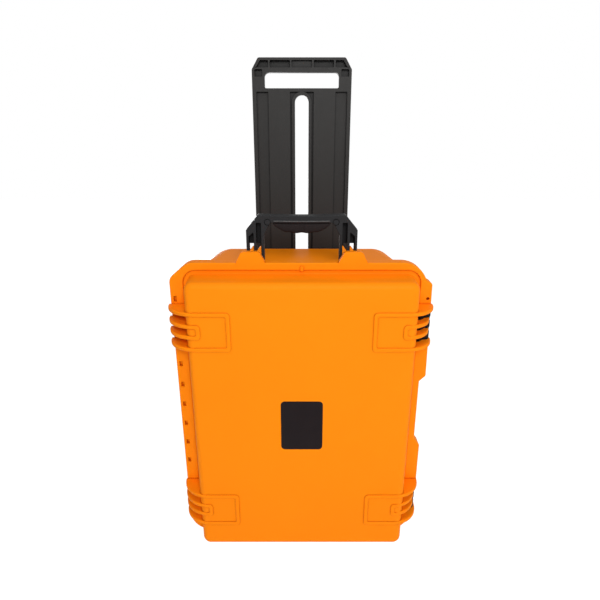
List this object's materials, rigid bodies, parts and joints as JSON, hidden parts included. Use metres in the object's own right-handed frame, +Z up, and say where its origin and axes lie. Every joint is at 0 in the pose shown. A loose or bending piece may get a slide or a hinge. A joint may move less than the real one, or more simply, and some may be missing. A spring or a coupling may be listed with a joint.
{
  "type": "drone carrying case",
  "caption": "Upright wheeled hard case with a side-hinged ribbed lid, press latches, folding handles, a flat pull-out trolley and foam cut for a drone.",
  "frame": {"origin": "on the floor under the centre of the case's outer box", "axes": "+Z up along the trolley, lid face towards -Y, hinge edge at -X, latch edge at +X"},
  "size_m": [0.4914, 0.297, 0.981],
  "materials": {
    "case_orange": "moulded, satin",
    "black_plastic": "moulded, fine grain",
    "badge_black": "smooth, bare",
    "black_rubber": "soft, matte",
    "wheel_tread": "soft, matte",
    "wheel_grey": "moulded",
    "steel": "drawn",
    "foam": "open-cell foam"
  },
  "bodies": {
    "case": {"base_shell": "case_orange", "base_rim": "case_orange", "top_handle_brackets": "case_orange", "side_handle_brackets": "case_orange", "hinge_pin": "steel", "top_handle_pins": "steel", "side_handle_pins": "steel", "trolley_guide_boss": "black_plastic", "trolley_back_cover": "black_plastic", "trolley_cover_screws": "steel", "trolley_guide_screws": "steel", "wheel_axle_left": "steel", "wheel_axle_right": "steel", "wheel_spacers": "steel", "rubber_feet": "black_rubber", "purge_valve_body": "black_plastic", "purge_valve_seal": "black_rubber", "base_foam_floor": "foam", "base_foam_insert": "foam"},
    "lid": {"lid_shell": "case_orange", "lid_gasket": "black_rubber", "lid_badge": "badge_black", "lid_foam": "foam", "latch_pin_upper": "steel", "latch_pin_lower": "steel"},
    "latch_upper": {"latch_lever_upper": "black_plastic", "latch_spring_upper": "steel"},
    "latch_lower": {"latch_lever_lower": "black_plastic", "latch_spring_lower": "steel"},
    "latch_button_upper": {"latch_button_upper": "black_plastic"},
    "latch_button_lower": {"latch_button_lower": "black_plastic"},
    "top_handle": {"top_handle_frame": "black_plastic", "top_handle_grip": "black_rubber"},
    "side_handle": {"side_handle_frame": "black_plastic", "side_handle_grip": "black_rubber"},
    "trolley": {"trolley_plate": "black_plastic", "trolley_button_spring": "steel"},
    "trolley_release": {"trolley_button": "black_plastic"},
    "wheel_left": {"wheel_tyre_left": "wheel_tread", "wheel_hub_left": "wheel_grey", "wheel_bearings_left": "steel"},
    "wheel_right": {"wheel_tyre_right": "wheel_tread", "wheel_hub_right": "wheel_grey", "wheel_bearings_right": "steel"}
  },
  "joints": [
    {"name": "lid_hinge", "type": "hinge", "parent": "case", "child": "lid", "pos_m": [-0.2323, -0.0802, 0.324], "axis": [0, 0, -1], "range_deg": [0, 100]},
    {"name": "top_handle_pivot", "type": "hinge", "parent": "case", "child": "top_handle", "pos_m": [0.002, -0.0575, 0.607], "axis": [-1, 0, 0], "range_deg": [0, 90]},
    {"name": "side_handle_pivot", "type": "hinge", "parent": "case", "child": "side_handle", "pos_m": [0.227, -0.0435, 0.3085], "axis": [0, 0, -1], "range_deg": [0, 90]},
    {"name": "trolley_slide", "type": "slide", "parent": "case", "child": "trolley", "axis": [0, 0, -1], "range_m": [0, 0.372]},
    {"name": "trolley_release_press", "type": "slide", "parent": "trolley", "child": "trolley_release", "axis": [0, -1, 0], "range_m": [0, 0.0018], "stiffness_N_per_m": 800, "springref_m": -0.002, "deforming": ["trolley_button_spring"]},
    {"name": "wheel_left_spin", "type": "hinge", "parent": "case", "child": "wheel_left", "pos_m": [-0.1625, 0.1135, 0.03], "axis": [1, 0, 0], "continuous": true},
    {"name": "wheel_right_spin", "type": "hinge", "parent": "case", "child": "wheel_right", "pos_m": [0.1665, 0.1135, 0.03], "axis": [1, 0, 0], "continuous": true},
    {"name": "latch_upper_pivot", "type": "hinge", "parent": "lid", "child": "latch_upper", "pos_m": [0.2313, -0.0985, 0.4985], "axis": [0, 0, -1], "range_deg": [0, 70]},
    {"name": "latch_button_upper_press", "type": "slide", "parent": "latch_upper", "child": "latch_button_upper", "axis": [-1, 0, 0], "range_m": [0, 0.002], "stiffness_N_per_m": 800, "springref_m": -0.002, "deforming": ["latch_spring_upper"]},
    {"name": "latch_lower_pivot", "type": "hinge", "parent": "lid", "child": "latch_lower", "pos_m": [0.2313, -0.0985, 0.1057], "axis": [0, 0, -1], "range_deg": [0, 70]},
    {"name": "latch_button_lower_press", "type": "slide", "parent": "latch_lower", "child": "latch_button_lower", "axis": [-1, 0, 0], "range_m": [0, 0.002], "stiffness_N_per_m": 800, "springref_m": -0.002, "deforming": ["latch_spring_lower"]}
  ]
}
